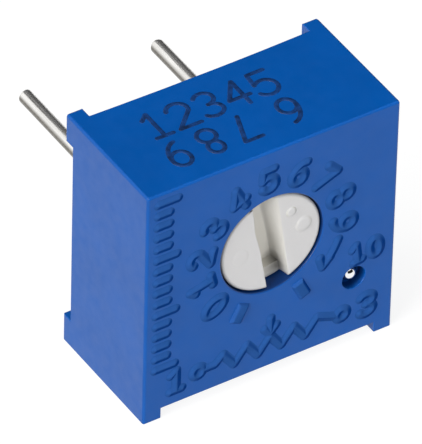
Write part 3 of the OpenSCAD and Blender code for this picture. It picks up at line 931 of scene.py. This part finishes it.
def make_camera():
    """A long lens from the upper left, its distance and aim in millimetres."""
    azimuth, elevation, roll, distance, lens = -33.2415, 40.4889, 1.5603, 292.007, 729.73
    aim = Vector((0.2647, FRONT_Y + 4.0063, 3.4667))
    a, e = math.radians(azimuth), math.radians(elevation)
    back = Vector((math.sin(a) * math.cos(e), -math.cos(a) * math.cos(e), math.sin(e)))
    data = bpy.data.cameras.new("camera")
    data.lens = lens
    data.clip_start, data.clip_end = 0.01, 10
    camera = bpy.data.objects.new("camera", data)
    turned = Matrix.Rotation(math.radians(roll), 4, back)
    aimed = turned @ (-back).to_track_quat("-Z", "Y").to_matrix().to_4x4()
    camera.matrix_world = Matrix.Translation((aim + back * distance) * MM) @ aimed
    bpy.context.scene.collection.objects.link(camera)
    bpy.context.scene.camera = camera


def seen_directly(tree):
    """1 for rays from the camera, a mirror or glass, and 0 for rays that carry light."""
    ray = add_node(tree, "ShaderNodeLightPath").outputs
    seen = ray["Is Camera Ray"]
    for kind in ("Is Glossy Ray", "Is Transmission Ray"):
        seen = add_node(tree, "ShaderNodeMath", {"operation": "MAXIMUM"}, _0=seen, _1=ray[kind]).outputs[0]
    return seen


def make_world():
    world = bpy.data.worlds.new("soft_room")
    world.use_nodes = True
    tree = world.node_tree
    tree.nodes.clear()
    strength = spread(tree, seen_directly(tree), AMBIENT, 1, 0, 1)
    light = add_node(tree, "ShaderNodeBackground", Color=WHITE, Strength=strength)
    add_node(tree, "ShaderNodeOutputWorld", Surface=light.outputs[0])
    bpy.context.scene.world = world


def make_floor():
    """A pale table that reads as plain white and keeps a faint shadow."""
    half, white_level = 2.0, 1.07
    mesh = bpy.data.meshes.new("floor")
    mesh.from_pydata([(x, y, 0) for x, y in rectangle(-half, -half, half, half)], [], [(0, 1, 2, 3)])
    floor = bpy.data.objects.new("floor", mesh)
    bpy.context.scene.collection.objects.link(floor)
    material = bpy.data.materials.new("white_table")
    material.use_nodes = True
    tree = material.node_tree
    tree.nodes.clear()
    seen = seen_directly(tree)
    matt = add_node(tree, "ShaderNodeBsdfDiffuse", Color=(FLOOR_GREY, FLOOR_GREY, FLOOR_GREY, 1))
    glow_level = spread(tree, seen, 0, white_level - FLOOR_GREY, 0, 1)
    glow = add_node(tree, "ShaderNodeEmission", Color=WHITE, Strength=glow_level)
    both = add_node(tree, "ShaderNodeAddShader", _0=matt.outputs[0], _1=glow.outputs[0])
    add_node(tree, "ShaderNodeOutputMaterial", Surface=both.outputs[0])
    mesh.materials.append(material)


def make_lamp(name, direction, distance, size, level, mirrored):
    """A square soft lamp. At level 1 a face turned to it shows its colour as written."""
    data = bpy.data.lights.new(name, "AREA")
    data.shape = "SQUARE"
    data.size = size
    data.energy = level * (math.pi * distance) ** 2
    lamp = bpy.data.objects.new(name, data)
    toward = Vector(direction).normalized()
    lamp.location = toward * distance
    lamp.rotation_euler = toward.to_track_quat("Z", "Y").to_euler()
    lamp.visible_glossy = mirrored
    bpy.context.scene.collection.objects.link(lamp)


def make_flag(name, direction, distance, width, height, shades):
    """A black card that gives bright metal its dark parts; it may also shade the lamps, or not."""
    outline = rectangle(-width / 2, -height / 2, width / 2, height / 2)
    mesh = bpy.data.meshes.new(name)
    mesh.from_pydata([(x, y, 0) for x, y in outline], [], [(0, 1, 2, 3)])
    toward = Vector(direction).normalized()
    flag = bpy.data.objects.new(name, mesh)
    turned = toward.to_track_quat("Z", "Y").to_matrix().to_4x4()
    flag.matrix_world = Matrix.Translation(toward * distance) @ turned
    flag.visible_camera = False
    flag.visible_diffuse = flag.visible_shadow = shades
    bpy.context.scene.collection.objects.link(flag)
    mesh.materials.append(plain_finish("black_cloth", "#1A1A1C", "#232326", 1.0, 0.9))


WHITE = (1, 1, 1, 1)
AMBIENT = 0.12
FLOOR_GREY = 0.2
# Direction, distance and size in metres, level, and whether gloss mirrors the lamp
LAMPS = {
    "key": ((-0.9, -0.3, 0.4), 0.6, 0.3, 0.82, True),
    "overhead": ((-0.35, 0.05, 0.94), 0.6, 0.4, 0.5, True),
    "fill": ((0.1, -0.93, 0.3), 0.6, 0.4, 0.5, False),
}
# Direction, distance, width and height in metres, and whether the card shades the lamps
FLAGS = {
    "rear_flag": ((0.5, 0.64, 0.58), 0.5, 0.75, 0.75, True),
    "front_flag": ((0.2, -0.92, 0.36), 0.7, 1.0, 0.45, False),
}


def inner_finishes():
    """The finishes of the pieces inside, by kind."""
    return {
        # Compression-moulded silicone: dull black.
        "seal_ring": plain_finish("black_silicone_rubber", "#18181A", "#202022", 0.1, 0.7, 0.0, 0.002, 0.3),
        # Rolled spring alloy: yellowish metal with a fine mill grain.
        "wiper_spring": plain_finish("rolled_spring_alloy", "#B8923C", "#C8A24C", 0.05, 0.3, 1.0, 0.001),
        # Fired alumina: matt white, faintly speckled.
        "ceramic_plate": plain_finish("fired_alumina", "#E9E7E0", "#F2F0EA", 0.06, 0.6),
        # Fired cermet glaze: near black with a satin sheen.
        "resistive_track": plain_finish("fired_cermet_glaze", "#262426", "#312F31", 0.05, 0.4),
        # Screen-printed silver alloy: pale grey metal, slightly rough.
        "conductor": plain_finish("printed_silver_alloy", "#B8B4A8", "#C9C5BA", 0.06, 0.42, 1.0, 0.003),
        # Reflowed solder: bright and smooth.
        "solder": plain_finish("bright_solder", "#A9ABAE", "#BCBEC1", 0.1, 0.25, 1.0),
    }


def finish_inner_pieces():
    """Gives the part's own inner solids, which no piece here replaces, their finishes."""
    finishes = inner_finishes()
    kinds = {node: node for node in ("seal_ring", "wiper_spring", "ceramic_plate", "resistive_track")}
    kinds.update(dict.fromkeys(("collector_layer", "end_conductor_1", "end_conductor_3"), "conductor"))
    kinds.update(dict.fromkeys(("solder_joint_1", "solder_joint_2", "solder_joint_3"), "solder"))
    for node, kind in kinds.items():
        slots = frame["nodes"][node].data.materials
        slots.clear()
        slots.append(finishes[kind])


def main():
    make_camera()
    make_world()
    make_floor()
    for name, setting in FLAGS.items():
        make_flag(name, *setting)
    for name, setting in LAMPS.items():
        make_lamp(name, *setting)

    blue = case_plastic()
    deep_blue = mark_plastic()
    white = rotor_plastic()
    tin = tinned_wire()
    # Polished bearing ball: a mirror with very fine scratches.
    steel = plain_finish("polished_steel_ball", "#EDEDEE", "#F4F4F5", 0.05, 0.08, 1.0, 0.0005)
    # Thin stamped epoxy ink: dark, patchy where it has not taken.
    ink = plain_finish("stamped_dark_ink", "#0A2348", "#0D3F80", 0.25, 0.55, 0.0, 0.002, 0.3)
    # Cast epoxy: glossy and smooth, with a slow unevenness.
    resin = plain_finish("cured_blue_epoxy", "#1B4A8C", "#20549C", 0.8, 0.22, 0.0, 0.004)
    tree = stroke_tree()

    make_case(blue)
    make_marks(tree, deep_blue)
    make_end_bars(deep_blue)
    make_print(tree, ink)
    make_rotor(white)
    for number in (1, 2, 3):
        make_pin("terminal_pin_%d" % number, number, tin)
    make_ball(steel)
    make_resin(resin)
    finish_inner_pieces()
    bpy.context.scene.view_settings.view_transform = "Standard"


main()
